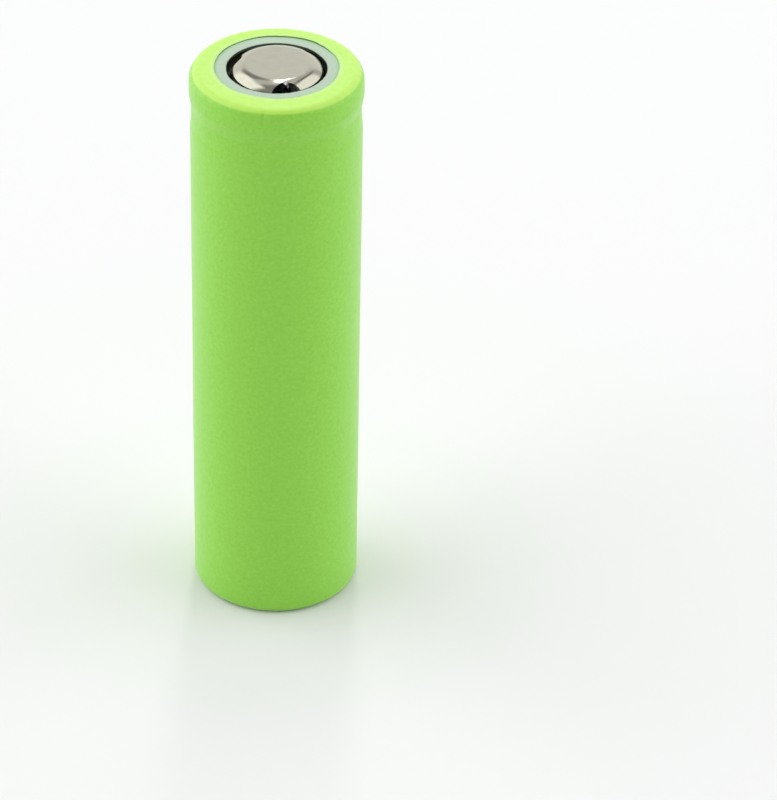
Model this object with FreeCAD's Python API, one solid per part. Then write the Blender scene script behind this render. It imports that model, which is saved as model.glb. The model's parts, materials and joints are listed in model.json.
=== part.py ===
"""Cylindrical lithium-ion cell, 18650 format, as an assembly of its separate pieces.

Millimetres. +Z runs up the cell's axis from the negative end to the positive cap, and the
origin is the centre of the flat ring that the cell stands on. Each function below makes one
piece, and main() writes each piece to parts/NAME.step.
"""

import FreeCAD, Part
import math
import os

# ---- driving dimensions -------------------------------------------------------------------

CELL_HEIGHT = 65.2  # base of the sleeve to the top of the positive cap
CAN_RADIUS = 9.025  # outside of the can's straight wall
HEAD_RADIUS = 9.145  # outside of the can above the bead, which the crimp swells a little
CAN_WALL = 0.25  # sheet that the can is drawn from
SLEEVE_FILM = 0.10  # shrink film
CAP_SHEET = 0.35
STACK_RADIUS = 8.30  # cap flange, PTC ring and vent disc, inside the gasket

# heights of the closure, from the top down
SLEEVE_TOP = 64.55
WASHER_TOP = SLEEVE_TOP - SLEEVE_FILM
WASHER_THICKNESS = 0.30
CRIMP_TOP = WASHER_TOP - WASHER_THICKNESS
CRIMP_UNDER = CRIMP_TOP - CAN_WALL
GASKET_FOLD = 0.35
FLANGE_TOP = CRIMP_UNDER - GASKET_FOLD
FLANGE_UNDER = FLANGE_TOP - CAP_SHEET
PTC_THICKNESS = 0.35
VENT_RIM_TOP = FLANGE_UNDER - PTC_THICKNESS
VENT_SHEET = 0.30
VENT_RIM_UNDER = VENT_RIM_TOP - VENT_SHEET
GASKET_FLOOR = 0.40
BEAD_TOP = VENT_RIM_UNDER - GASKET_FLOOR  # inner upper face of the bead, under the gasket

# sealing gasket
GASKET_SKIRT_INNER = 6.50
GASKET_SKIRT_OUTER = 6.85
GASKET_SKIRT_DROP = 0.80  # how far the skirt hangs below the bead's upper face
GASKET_LIP = 0.30  # how far the fold reaches past the can's mouth
GASKET_LIP_CORNER = 0.10
GASKET_SEAT_CORNER = 0.45
GASKET_SKIRT_CORNER = 0.15

# current interrupt device, hanging under the vent disc
CID_GAP = 0.30  # thickness of the insulating ring
WELD_PLATE_TOP = VENT_RIM_UNDER - CID_GAP
WELD_PLATE_THICKNESS = 0.40
WELD_PLATE_UNDER = WELD_PLATE_TOP - WELD_PLATE_THICKNESS
WELD_PLATE_RADIUS = 6.10
WELD_PLATE_HOLES = 6
WELD_PLATE_HOLE_RADIUS = 0.60
WELD_PLATE_HOLES_AT = 3.70
BOSS_HOLE_RADIUS = 1.90
SUB_PLATE_THICKNESS = 0.12
SUB_PLATE_RIM = 0.70  # how far the sub-plate reaches past the boss hole
CID_RING_HOLE = 4.85
CID_SKIRT_RADIUS = 6.45
CID_SKIRT_SHORT = 0.05  # how far the skirt ends above the weld plate's underside
VENT_DISH_GAP = 0.08  # between the dish and the weld plate
VENT_BOSS_RADIUS = 1.20
VENT_BOSS_FOOT = 1.60
VENT_BOSS_CORNER = 0.40
VENT_DISH_RADIUS = 4.35
VENT_DISH_LIP = 4.70
VENT_DISH_CORNER = 0.50
VENT_FOLD_CORNER = 0.10
VENT_SCORE_RADIUS = 3.30
VENT_SCORE_DEPTH = 0.20
VENT_SCORE_OVER = 0.05  # how far the scoring tool stands out of the sheet
PTC_CLEARANCE = 0.05  # between the ring and the cap's dome

# the can's bead and crimp
BEAD_OPENING = 1.10  # width of the groove outside
BEAD_TIP_RADIUS = 7.775  # smallest outside radius in the groove
GROOVE_TOP = BEAD_TOP - CAN_WALL
GROOVE_UNDER = GROOVE_TOP - BEAD_OPENING
NECK_START = 57.90  # where the wall steps in below the groove
NECK_TOP = 58.50  # where the step ends
NECK_RADIUS = 8.925  # outside radius above the step
NECK_BLEND = 3.0
LOWER_LIP_RADIUS = 8.88  # outside radius at the groove's lower edge
BASE_CONTACT_RADIUS = 7.25  # the bare part of the base, inside the film's edge
CRIMP_MOUTH_RADIUS = 7.05
CAN_BASE_CORNER = 0.80
CRIMP_CORNER = 0.90
LIP_CORNER = 0.35

# sleeve and washer openings
SLEEVE_TOP_OPENING = 6.50
SLEEVE_BASE_OPENING = 7.30
SLEEVE_VALLEY = 60.20  # height where the film starts to bridge the groove
NECK_TAPER = (NECK_RADIUS - LOWER_LIP_RADIUS) / (GROOVE_UNDER - NECK_TOP)
SLEEVE_VALLEY_RADIUS = NECK_RADIUS - NECK_TAPER * (SLEEVE_VALLEY - NECK_TOP)  # on the can
SLEEVE_HEAD_EDGE = 61.85  # height where the film meets the head again
SLEEVE_GROOVE_BLEND = 0.80
WASHER_HOLE = 5.32
WASHER_WRAP = 48.0  # how far the washer bends down over the shoulder, in degrees

# positive cap
CAP_DOME_BASE = 5.05  # outside radius of the dome where it meets the flange
CAP_DOME_TOP = 4.80  # outside radius of the dome at the top, before its corner is rounded
CAP_DOME_CORNER = 1.70
CAP_ROOT_CORNER = 0.25
VENT_WINDOWS = 3
VENT_WINDOW_ANGLE = 283.0  # direction of the first window, in degrees from +X
VENT_WINDOW_WIDTH = 3.10
VENT_WINDOW_CORNER = 0.90
VENT_WINDOW_INNER = 4.05  # distance from the axis to the straight inner edge
VENT_WINDOW_SILL = 0.10  # metal left between the flange and the window
COINED_TILT = 48.0  # the flat coined over each window faces this far from straight up
COINED_DEPTH = 0.09
COINED_SIZE = 6.0  # side of the square tool

# wound electrodes
CORE_RADIUS = 1.75
SEPARATOR = 0.025
COATING = 0.08
FOIL = 0.02
SLACK = 0.005  # between one sheet and the next
ELECTRODE = 2 * COATING + FOIL
PITCH = 2 * (SEPARATOR + ELECTRODE) + 4 * SLACK
ROLL_TURNS = 15.0
ANODE_START, ANODE_COAT_END, ANODE_END = 0.50, 14.40, 14.90
CATHODE_START, CATHODE_END = 1.00, 14.00
TAB_WIDTH = 4.0
TAB_THICKNESS = 0.08
TAB_TAPE = 0.05
TAB_INSET = 1.5  # how far a tab's free end stays inside the electrode's edge
BARE_GAP = 6.0  # length of foil left uncoated for a tab
TAB_TAPE_REACH = 0.45 * BARE_GAP  # how far the tape runs to each side of a tab
POSITIVE_TAB_FOLD = -5.60  # y of the fold over the roll
POSITIVE_TAB_WELD = 0.90  # how far the welded end stays outside the boss hole
NEGATIVE_TAB_END = 2.0  # y of the foot's end, past the middle of the base
POSITIVE_TAB_TURN = 8.25  # a quarter turn past the start of a turn, so it points along +Y
NEGATIVE_TAB_TURN = 14.75  # three quarters, so it points along -Y
WINDING_TAPE = 0.03
WINDING_TAPE_TURNS = (14.80, 15.20)

# offsets of each sheet from the innermost separator's inner face
ANODE_AT = SEPARATOR + SLACK
OUTER_SEPARATOR_AT = ANODE_AT + ELECTRODE + SLACK
CATHODE_AT = OUTER_SEPARATOR_AT + SEPARATOR + SLACK

# heights inside the can
CAN_FLOOR = SLEEVE_FILM + CAN_WALL
TAB_FOOT_TOP = CAN_FLOOR + TAB_THICKNESS
INSULATOR_GAP = 0.02
INSULATOR_THICKNESS = 0.20
BOTTOM_INSULATOR = (
    TAB_FOOT_TOP + INSULATOR_GAP,
    TAB_FOOT_TOP + INSULATOR_GAP + INSULATOR_THICKNESS,
)
SEPARATOR_SPAN = (0.75, 60.10)
ANODE_SPAN = (1.25, 59.60)
CATHODE_SPAN = (1.75, 59.10)
TOP_INSULATOR = (60.15, 60.40)
TAB_LEG_HEIGHT = 60.72  # underside of the positive tab's lower leg
INSULATOR_RADIUS = 8.40
INSULATOR_HOLES = 4
INSULATOR_HOLE_RADIUS = 0.90
INSULATOR_HOLES_AT = 4.20
INSULATOR_FIRST_HOLE = -45.0
TAB_SLOT_WIDTH = TAB_WIDTH + 0.8
TAB_SLOT_INSIDE = 0.7  # how far the slot reaches inside the tab's place
TAB_SLOT_OUTSIDE = 0.4
TAB_NOTCH_DEPTH = 1.1
CENTRE_PIN_FOOT_GAP = 0.05
CENTRE_PIN_SPAN = (BOTTOM_INSULATOR[1] + CENTRE_PIN_FOOT_GAP, 58.0)
CENTRE_PIN_RADIUS = 1.50
CENTRE_PIN_WALL = 0.20
CENTRE_PIN_TAPER = 1.2  # height of each drawn-in end
CENTRE_PIN_DRAW = 0.35  # how far each end is drawn in
CENTRE_PIN_BLEND = 1.0
CENTRE_PIN_SEAM = 0.30

AXIS = FreeCAD.Vector(0, 0, 1)
ORIGIN = FreeCAD.Vector(0, 0, 0)
FULL_TURN = 360.0
SHORTEST_EDGE = 1e-7
ROUNDING = 1e-9  # allowance when numbers of turns are compared


# ---- profiles -----------------------------------------------------------------------------


def offset_path(points, thickness):
    """The same (r, z, corner radius) path moved to its left, with its corners kept concentric."""
    moved = []
    last = len(points) - 1
    for i, (r, z, corner) in enumerate(points):
        before = unit(points[i - 1], points[i]) if i > 0 else None
        after = unit(points[i], points[i + 1]) if i < last else None
        before, after = before or after, after or before
        n1, n2 = (-before[1], before[0]), (-after[1], after[0])
        share = thickness / (1 + n1[0] * n2[0] + n1[1] * n2[1])
        turn = before[0] * after[1] - before[1] * after[0]
        grown = corner - math.copysign(1.0, turn) * thickness if corner else 0.0
        moved.append((r + (n1[0] + n2[0]) * share, z + (n1[1] + n2[1]) * share, grown))
    return moved


def unit(a, b):
    length = math.hypot(b[0] - a[0], b[1] - a[1])
    return ((b[0] - a[0]) / length, (b[1] - a[1]) / length)


def rounded_edges(points, place):
    """Lines through a closed (u, v, corner radius) polygon, with its corners as tangent arcs."""
    count = len(points)
    ends, arcs = [], []
    for i, point in enumerate(points):
        corner = point[2]
        back = unit(point, points[i - 1])
        on = unit(point, points[(i + 1) % count])
        if not corner:
            ends.append((point[:2], point[:2]))
            arcs.append(None)
            continue
        half = math.acos(back[0] * on[0] + back[1] * on[1]) / 2
        reach = corner / math.tan(half)
        first = (point[0] + back[0] * reach, point[1] + back[1] * reach)
        second = (point[0] + on[0] * reach, point[1] + on[1] * reach)
        middle_way = unit((0, 0), (back[0] + on[0], back[1] + on[1]))
        depth = corner / math.sin(half) - corner
        middle = (point[0] + middle_way[0] * depth, point[1] + middle_way[1] * depth)
        ends.append((first, second))
        arcs.append(middle)
    edges = []
    for i in range(count):
        first, second = ends[i]
        if arcs[i]:
            edges.append(Part.Arc(place(*first), place(*arcs[i]), place(*second)).toShape())
        start = ends[(i + 1) % count][0]
        if math.hypot(start[0] - second[0], start[1] - second[1]) > SHORTEST_EDGE:
            edges.append(Part.LineSegment(place(*second), place(*start)).toShape())
    return edges


def profile_face(points, place):
    return Part.Face(Part.Wire(rounded_edges(points, place)))


def turned(points):
    """A closed (r, z, corner radius) profile turned about the axis."""
    face = profile_face(points, lambda r, z: FreeCAD.Vector(r, 0, z))
    return face.revolve(ORIGIN, AXIS, FULL_TURN)


def turned_sheet(path, thickness):
    """A sheet whose right-hand face follows the path, turned about the axis."""
    return turned(path + offset_path(path, thickness)[::-1])


def ring(inner, outer, low, high):
    return Part.makeCylinder(outer, high - low, FreeCAD.Vector(0, 0, low)).cut(
        Part.makeCylinder(inner, high - low, FreeCAD.Vector(0, 0, low))
    )


def round_holes(radius, at, count, low, high, first=0.0):
    """Upright cylinders spaced evenly on a circle, to cut holes with."""
    return [
        Part.makeCylinder(
            radius,
            high - low,
            FreeCAD.Vector(at * math.cos(angle), at * math.sin(angle), low),
        )
        for angle in (math.radians(first + FULL_TURN * i / count) for i in range(count))
    ]


# ---- winding ------------------------------------------------------------------------------


def winding_centre(half_turn):
    """Half turns alternate between two centres, which makes the spiral grow by one pitch a turn."""
    shift = PITCH / 4
    return (-shift, 0.0) if half_turn % 2 == 0 else (shift, 0.0)


def winding_radius(offset, half_turn):
    return CORE_RADIUS + offset + half_turn * PITCH / 2


def wound_arcs(offset, start, end):
    """Tangent arcs along the spiral at an offset, from one number of turns to another."""
    arcs = []
    half_turn = math.floor(2 * start + ROUNDING)
    while half_turn < 2 * end - ROUNDING:
        first = max(start, half_turn / 2)
        last = min(end, (half_turn + 1) / 2)
        centre, radius = winding_centre(half_turn), winding_radius(offset, half_turn)
        at = [
            FreeCAD.Vector(
                centre[0] + radius * math.cos(2 * math.pi * turns),
                centre[1] + radius * math.sin(2 * math.pi * turns),
                0,
            )
            for turns in (first, (first + last) / 2, last)
        ]
        arcs.append((at[0], at[1], at[2]))
        half_turn += 1
    return arcs


def wound_sheet(offset, thickness, start, end, span):
    """One sheet of the winding between two numbers of turns, standing between two heights."""
    inner = wound_arcs(offset, start, end)
    outer = wound_arcs(offset + thickness, start, end)
    edges = [Part.Arc(*points).toShape() for points in inner]
    edges.append(Part.LineSegment(inner[-1][2], outer[-1][2]).toShape())
    edges += [Part.Arc(c, b, a).toShape() for a, b, c in reversed(outer)]
    edges.append(Part.LineSegment(outer[0][0], inner[0][0]).toShape())
    face = Part.Face(Part.Wire(edges))
    face.translate(FreeCAD.Vector(0, 0, span[0]))
    return face.extrude(FreeCAD.Vector(0, 0, span[1] - span[0]))


def turns_of(length, offset, at_turn):
    """How much of a turn an arc length takes at a place in the winding."""
    radius = winding_radius(offset, math.floor(2 * at_turn))
    return length / (2 * math.pi * radius)


# ---- outside of the cell ------------------------------------------------------------------


def can_path():
    """Outside of the can, from the middle of its base up to the crimped mouth."""
    return [
        (0.0, SLEEVE_FILM, 0.0),
        (BASE_CONTACT_RADIUS, SLEEVE_FILM, 0.0),
        (CAN_RADIUS, SLEEVE_FILM, CAN_BASE_CORNER),
        (CAN_RADIUS, NECK_START, NECK_BLEND),
        (NECK_RADIUS, NECK_TOP, NECK_BLEND),
        (LOWER_LIP_RADIUS, GROOVE_UNDER, LIP_CORNER),
        (BEAD_TIP_RADIUS, GROOVE_UNDER, BEAD_OPENING / 2),
        (BEAD_TIP_RADIUS, GROOVE_TOP, BEAD_OPENING / 2),
        (HEAD_RADIUS, GROOVE_TOP, LIP_CORNER),
        (HEAD_RADIUS, CRIMP_TOP, CRIMP_CORNER),
        (CRIMP_MOUTH_RADIUS, CRIMP_TOP, 0.0),
    ]


def steel_can():
    """Drawn can. Its base is split at the film's edge, so the bare contact is its own face."""
    return turned_sheet(can_path(), CAN_WALL)


def shrink_sleeve():
    """The film lies on the can, bridges its groove and folds over the washer and the base."""
    inside = [
        (SLEEVE_BASE_OPENING, SLEEVE_FILM, 0.0),
        (CAN_RADIUS, SLEEVE_FILM, CAN_BASE_CORNER),
        (CAN_RADIUS, NECK_START, NECK_BLEND),
        (NECK_RADIUS, NECK_TOP, NECK_BLEND),
        (SLEEVE_VALLEY_RADIUS, SLEEVE_VALLEY, SLEEVE_GROOVE_BLEND),
        (HEAD_RADIUS, SLEEVE_HEAD_EDGE, SLEEVE_GROOVE_BLEND),
        (HEAD_RADIUS, WASHER_TOP, CRIMP_CORNER),
        (SLEEVE_TOP_OPENING, WASHER_TOP, 0.0),
    ]
    return turned_sheet(inside, -SLEEVE_FILM)


def insulating_washer():
    """Board ring on the crimp, bent down over the can's shoulder under the film."""
    wrap = math.radians(WASHER_WRAP)
    bend_start = HEAD_RADIUS - CRIMP_CORNER
    bend_corner = bend_start + CRIMP_CORNER * math.tan(wrap / 2)
    edge = bend_start + CRIMP_CORNER * math.sin(wrap)
    drop = CRIMP_CORNER * (1 - math.cos(wrap))
    points = [
        (WASHER_HOLE, CRIMP_TOP, 0.0),
        (bend_corner, CRIMP_TOP, CRIMP_CORNER),
        (edge, CRIMP_TOP - drop, 0.0),
        (edge, WASHER_TOP - drop, 0.0),
        (bend_corner, WASHER_TOP, CRIMP_CORNER),
        (WASHER_HOLE, WASHER_TOP, 0.0),
    ]
    return turned(points)


# ---- closure ------------------------------------------------------------------------------


def window_cutter():
    """Upright block, rounded at its upper corners, pushed out through the dome's shoulder."""
    half = VENT_WINDOW_WIDTH / 2
    sill = FLANGE_TOP + VENT_WINDOW_SILL
    outline = [
        (-half, sill, 0.0),
        (half, sill, 0.0),
        (half, CELL_HEIGHT, VENT_WINDOW_CORNER),
        (-half, CELL_HEIGHT, VENT_WINDOW_CORNER),
    ]
    window = profile_face(outline, lambda u, z: FreeCAD.Vector(VENT_WINDOW_INNER, u, z))
    return window.extrude(FreeCAD.Vector(CAP_DOME_BASE, 0, 0))


def coining_tool():
    """Block whose lower face leaves a flat across the dome's corner, over a window."""
    tilt = math.radians(COINED_TILT)
    side = unit((CAP_DOME_BASE, FLANGE_TOP), (CAP_DOME_TOP, CELL_HEIGHT))
    corner_z = CELL_HEIGHT - CAP_DOME_CORNER
    corner_r = CAP_DOME_BASE + (corner_z - FLANGE_TOP) * side[0] / side[1]
    corner_r -= CAP_DOME_CORNER / side[1]
    reach = CAP_DOME_CORNER - COINED_DEPTH
    half = COINED_SIZE / 2
    tool = Part.makeBox(COINED_SIZE, COINED_SIZE, COINED_SIZE, FreeCAD.Vector(-half, -half, 0))
    tool.rotate(ORIGIN, FreeCAD.Vector(0, 1, 0), COINED_TILT)
    tool.translate(
        FreeCAD.Vector(corner_r + reach * math.sin(tilt), 0, corner_z + reach * math.cos(tilt))
    )
    return tool


def positive_cap():
    """Pressed cap with a flange and vent windows through the shoulder of its dome."""
    outside = [
        (STACK_RADIUS, FLANGE_TOP, 0.0),
        (CAP_DOME_BASE, FLANGE_TOP, CAP_ROOT_CORNER),
        (CAP_DOME_TOP, CELL_HEIGHT, CAP_DOME_CORNER),
        (0.0, CELL_HEIGHT, 0.0),
    ]
    cap = turned_sheet(outside, CAP_SHEET)
    for i in range(VENT_WINDOWS):
        angle = VENT_WINDOW_ANGLE + FULL_TURN * i / VENT_WINDOWS
        for tool in (coining_tool(), window_cutter()):
            tool.rotate(ORIGIN, AXIS, angle)
            cap = cap.cut(tool)
    return cap


def sealing_gasket():
    """Moulded cup that the closure stack sits in, folded over it by the crimp."""
    outer = HEAD_RADIUS - CAN_WALL
    skirt_foot = BEAD_TOP - GASKET_SKIRT_DROP
    fold_inner = CRIMP_MOUTH_RADIUS - GASKET_LIP
    points = [
        (GASKET_SKIRT_INNER, skirt_foot, 0.0),
        (GASKET_SKIRT_OUTER, skirt_foot, 0.0),
        (GASKET_SKIRT_OUTER, BEAD_TOP, GASKET_SKIRT_CORNER),
        (outer, BEAD_TOP, GASKET_SEAT_CORNER),
        (outer, CRIMP_UNDER, CRIMP_CORNER - CAN_WALL),
        (fold_inner, CRIMP_UNDER, GASKET_LIP_CORNER),
        (fold_inner, FLANGE_TOP, 0.0),
        (STACK_RADIUS, FLANGE_TOP, 0.0),
        (STACK_RADIUS, VENT_RIM_UNDER, 0.0),
        (GASKET_SKIRT_INNER, VENT_RIM_UNDER, 0.0),
    ]
    return turned(points)


def ptc_ring():
    """Polymer ring whose resistance rises when it heats up."""
    return ring(CAP_DOME_BASE + PTC_CLEARANCE, STACK_RADIUS, VENT_RIM_TOP, FLANGE_UNDER)


def vent_disc():
    """Aluminium disc, dished down to a boss that touches the sub-plate, with a scored ring."""
    dish_under = WELD_PLATE_TOP + VENT_DISH_GAP
    underside = [
        (0.0, WELD_PLATE_UNDER, 0.0),
        (VENT_BOSS_RADIUS, WELD_PLATE_UNDER, VENT_BOSS_CORNER),
        (VENT_BOSS_FOOT, dish_under, VENT_FOLD_CORNER),
        (VENT_DISH_RADIUS, dish_under, VENT_DISH_CORNER),
        (VENT_DISH_LIP, VENT_RIM_UNDER, VENT_FOLD_CORNER),
        (STACK_RADIUS, VENT_RIM_UNDER, 0.0),
    ]
    disc = turned_sheet(underside, VENT_SHEET)
    dish_top = dish_under + VENT_SHEET
    score = turned(
        [
            (VENT_SCORE_RADIUS, dish_top - VENT_SCORE_DEPTH, 0.0),
            (VENT_SCORE_RADIUS + VENT_SCORE_DEPTH, dish_top + VENT_SCORE_OVER, 0.0),
            (VENT_SCORE_RADIUS - VENT_SCORE_DEPTH, dish_top + VENT_SCORE_OVER, 0.0),
        ]
    )
    return disc.cut(score)


def cid_insulator():
    """Ring that keeps the vent disc's rim off the weld plate, with a skirt round the plate."""
    skirt_foot = WELD_PLATE_UNDER + CID_SKIRT_SHORT
    points = [
        (CID_RING_HOLE, WELD_PLATE_TOP, 0.0),
        (WELD_PLATE_RADIUS, WELD_PLATE_TOP, 0.0),
        (WELD_PLATE_RADIUS, skirt_foot, 0.0),
        (CID_SKIRT_RADIUS, skirt_foot, 0.0),
        (CID_SKIRT_RADIUS, VENT_RIM_UNDER, 0.0),
        (CID_RING_HOLE, VENT_RIM_UNDER, 0.0),
    ]
    return turned(points)


def weld_plate():
    """Perforated aluminium plate that the positive tab is welded to."""
    low, high = WELD_PLATE_UNDER, WELD_PLATE_TOP
    plate = ring(BOSS_HOLE_RADIUS, WELD_PLATE_RADIUS, low, high)
    holes = round_holes(WELD_PLATE_HOLE_RADIUS, WELD_PLATE_HOLES_AT, WELD_PLATE_HOLES, low, high)
    return plate.cut(holes)


def cid_sub_plate():
    """Thin disc under the weld plate's middle, which the vent disc's boss is welded to."""
    low = WELD_PLATE_UNDER - SUB_PLATE_THICKNESS
    return Part.makeCylinder(
        BOSS_HOLE_RADIUS + SUB_PLATE_RIM, SUB_PLATE_THICKNESS, FreeCAD.Vector(0, 0, low)
    )


# ---- inside of the can --------------------------------------------------------------------


def bent_strip(path, width, thickness):
    """A flat strip bent along a (y, z, corner radius) path, across the X axis."""
    outline = path + offset_path(path, thickness)[::-1]
    face = profile_face(outline, lambda y, z: FreeCAD.Vector(-width / 2, y, z))
    return face.extrude(FreeCAD.Vector(width, 0, 0))


def positive_tab():
    """Aluminium strip: welded to the cathode foil, folded once over the roll, welded above."""
    offset = CATHODE_AT + COATING + FOIL
    half_width = turns_of(TAB_WIDTH / 2, offset, POSITIVE_TAB_TURN)
    upright = wound_sheet(
        offset,
        TAB_THICKNESS,
        POSITIVE_TAB_TURN - half_width,
        POSITIVE_TAB_TURN + half_width,
        (CATHODE_SPAN[0] + TAB_INSET, TAB_LEG_HEIGHT + TAB_THICKNESS),
    )
    half_turn = math.floor(2 * POSITIVE_TAB_TURN)
    tab_radius = winding_radius(offset + TAB_THICKNESS, half_turn)
    tab_centre = winding_centre(half_turn)
    weld_end = -BOSS_HOLE_RADIUS - POSITIVE_TAB_WELD
    fold_radius = (WELD_PLATE_UNDER - TAB_LEG_HEIGHT) / 2
    path = [
        (tab_radius + TAB_WIDTH, TAB_LEG_HEIGHT, 0.0),
        (POSITIVE_TAB_FOLD, TAB_LEG_HEIGHT, fold_radius),
        (POSITIVE_TAB_FOLD, WELD_PLATE_UNDER, fold_radius),
        (weld_end, WELD_PLATE_UNDER, 0.0),
    ]
    legs = bent_strip(path, TAB_WIDTH, -TAB_THICKNESS)
    inside = Part.makeCylinder(
        tab_radius, CELL_HEIGHT, FreeCAD.Vector(tab_centre[0], tab_centre[1], 0)
    )
    return upright.fuse(legs.common(inside)).removeSplitter()


def negative_tab():
    """Nickel strip: welded to the bare end of the anode foil, folded under the roll."""
    offset = ANODE_AT + COATING + FOIL
    half_width = turns_of(TAB_WIDTH / 2, offset, NEGATIVE_TAB_TURN)
    upright = wound_sheet(
        offset,
        TAB_THICKNESS,
        NEGATIVE_TAB_TURN - half_width,
        NEGATIVE_TAB_TURN + half_width,
        (CAN_FLOOR, ANODE_SPAN[1] - TAB_INSET),
    )
    half_turn = math.floor(2 * NEGATIVE_TAB_TURN)
    tab_radius = winding_radius(offset + TAB_THICKNESS, half_turn)
    tab_centre = winding_centre(half_turn)
    foot = Part.makeBox(
        TAB_WIDTH,
        tab_radius + NEGATIVE_TAB_END,
        TAB_THICKNESS,
        FreeCAD.Vector(-TAB_WIDTH / 2, -tab_radius, CAN_FLOOR),
    )
    inside = Part.makeCylinder(
        tab_radius, CELL_HEIGHT, FreeCAD.Vector(tab_centre[0], tab_centre[1], 0)
    )
    return upright.fuse(foot.common(inside)).removeSplitter()


def positive_tab_tape():
    """Tape over the bare foil behind the positive tab."""
    offset = CATHODE_AT + COATING - TAB_TAPE
    half = turns_of(TAB_TAPE_REACH, offset, POSITIVE_TAB_TURN)
    turns = (POSITIVE_TAB_TURN - half, POSITIVE_TAB_TURN + half)
    return wound_sheet(offset, TAB_TAPE, *turns, CATHODE_SPAN)


def negative_tab_tape():
    """Tape over the bare foil behind the negative tab."""
    offset = ANODE_AT + COATING - TAB_TAPE
    half = turns_of(TAB_TAPE_REACH, offset, NEGATIVE_TAB_TURN)
    turns = (NEGATIVE_TAB_TURN - half, NEGATIVE_TAB_TURN + half)
    return wound_sheet(offset, TAB_TAPE, *turns, ANODE_SPAN)


def cathode_foil():
    return wound_sheet(CATHODE_AT + COATING, FOIL, CATHODE_START, CATHODE_END, CATHODE_SPAN)


def cathode_coating():
    """Both sides of the cathode foil, interrupted where the tab is welded."""
    layers = []
    for offset in (CATHODE_AT, CATHODE_AT + COATING + FOIL):
        half_gap = turns_of(BARE_GAP / 2, offset, POSITIVE_TAB_TURN)
        stretches = (
            (CATHODE_START, POSITIVE_TAB_TURN - half_gap),
            (POSITIVE_TAB_TURN + half_gap, CATHODE_END),
        )
        layers += [wound_sheet(offset, COATING, *turns, CATHODE_SPAN) for turns in stretches]
    return Part.makeCompound(layers)


def anode_foil():
    return wound_sheet(ANODE_AT + COATING, FOIL, ANODE_START, ANODE_END, ANODE_SPAN)


def anode_coating():
    """Both sides of the anode foil, up to its bare outer end."""
    return Part.makeCompound(
        [
            wound_sheet(offset, COATING, ANODE_START, ANODE_COAT_END, ANODE_SPAN)
            for offset in (ANODE_AT, ANODE_AT + COATING + FOIL)
        ]
    )


def separator_inner():
    return wound_sheet(0.0, SEPARATOR, 0.0, ROLL_TURNS, SEPARATOR_SPAN)


def separator_outer():
    return wound_sheet(OUTER_SEPARATOR_AT, SEPARATOR, 0.0, ROLL_TURNS, SEPARATOR_SPAN)


def winding_tape():
    """Tape that holds the outer end of the separators down."""
    offset = OUTER_SEPARATOR_AT + SEPARATOR + SLACK
    return wound_sheet(offset, WINDING_TAPE, *WINDING_TAPE_TURNS, SEPARATOR_SPAN)


def top_insulator():
    """Disc on top of the roll, with gas holes and an opening for the positive tab."""
    low, high = TOP_INSULATOR
    disc = ring(CORE_RADIUS, INSULATOR_RADIUS, low, high)
    cuts = round_holes(
        INSULATOR_HOLE_RADIUS, INSULATOR_HOLES_AT, INSULATOR_HOLES, low, high, INSULATOR_FIRST_HOLE
    )
    half_turn = math.floor(2 * POSITIVE_TAB_TURN)
    tab_at = winding_radius(CATHODE_AT + COATING + FOIL, half_turn)
    slot_at = FreeCAD.Vector(-TAB_SLOT_WIDTH / 2, tab_at - TAB_SLOT_INSIDE, low)
    slot_depth = TAB_SLOT_INSIDE + TAB_SLOT_OUTSIDE
    cuts.append(Part.makeBox(TAB_SLOT_WIDTH, slot_depth, high - low, slot_at))
    return disc.cut(cuts)


def bottom_insulator():
    """Disc under the roll, with the welding hole and a notch for the negative tab."""
    low, high = BOTTOM_INSULATOR
    disc = ring(CORE_RADIUS, INSULATOR_RADIUS, low, high)
    notch_at = FreeCAD.Vector(-TAB_SLOT_WIDTH / 2, -INSULATOR_RADIUS, low)
    return disc.cut(Part.makeBox(TAB_SLOT_WIDTH, TAB_NOTCH_DEPTH, high - low, notch_at))


def centre_pin():
    """Rolled steel tube with an open seam and tapered ends, which keeps the gas channel open."""
    low, high = CENTRE_PIN_SPAN
    end_radius = CENTRE_PIN_RADIUS - CENTRE_PIN_DRAW
    outside = [
        (end_radius, low, 0.0),
        (CENTRE_PIN_RADIUS, low + CENTRE_PIN_TAPER, CENTRE_PIN_BLEND),
        (CENTRE_PIN_RADIUS, high - CENTRE_PIN_TAPER, CENTRE_PIN_BLEND),
        (end_radius, high, 0.0),
    ]
    tube = turned_sheet(outside, CENTRE_PIN_WALL)
    seam_at = FreeCAD.Vector(0, -CENTRE_PIN_SEAM / 2, 0)
    return tube.cut(Part.makeBox(2 * CENTRE_PIN_RADIUS, CENTRE_PIN_SEAM, CELL_HEIGHT, seam_at))


PIECES = [
    shrink_sleeve,
    insulating_washer,
    steel_can,
    positive_cap,
    sealing_gasket,
    ptc_ring,
    vent_disc,
    cid_insulator,
    weld_plate,
    cid_sub_plate,
    positive_tab,
    positive_tab_tape,
    top_insulator,
    cathode_foil,
    cathode_coating,
    anode_foil,
    anode_coating,
    separator_inner,
    separator_outer,
    winding_tape,
    negative_tab,
    negative_tab_tape,
    bottom_insulator,
    centre_pin,
]


def main():
    os.makedirs("parts", exist_ok=True)
    for make in PIECES:
        shape = make()
        name = make.__name__
        solids = shape.Solids
        if not solids or not all(s.isValid() and s.Volume > 0 for s in solids):
            raise ValueError(f"{name} isn't made of valid solids")
        shape.exportStep(f"parts/{name}.step")
        print(f"{name}: {len(solids)} solid(s), {sum(s.Volume for s in solids):.3f} mm3")


main()
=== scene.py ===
"""Looks of a cylindrical lithium-ion cell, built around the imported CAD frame.

Metres, +Z up the cell's axis. MM turns the sizes below, which are in millimetres, into metres.
"""

import json
import math
import random

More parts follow.
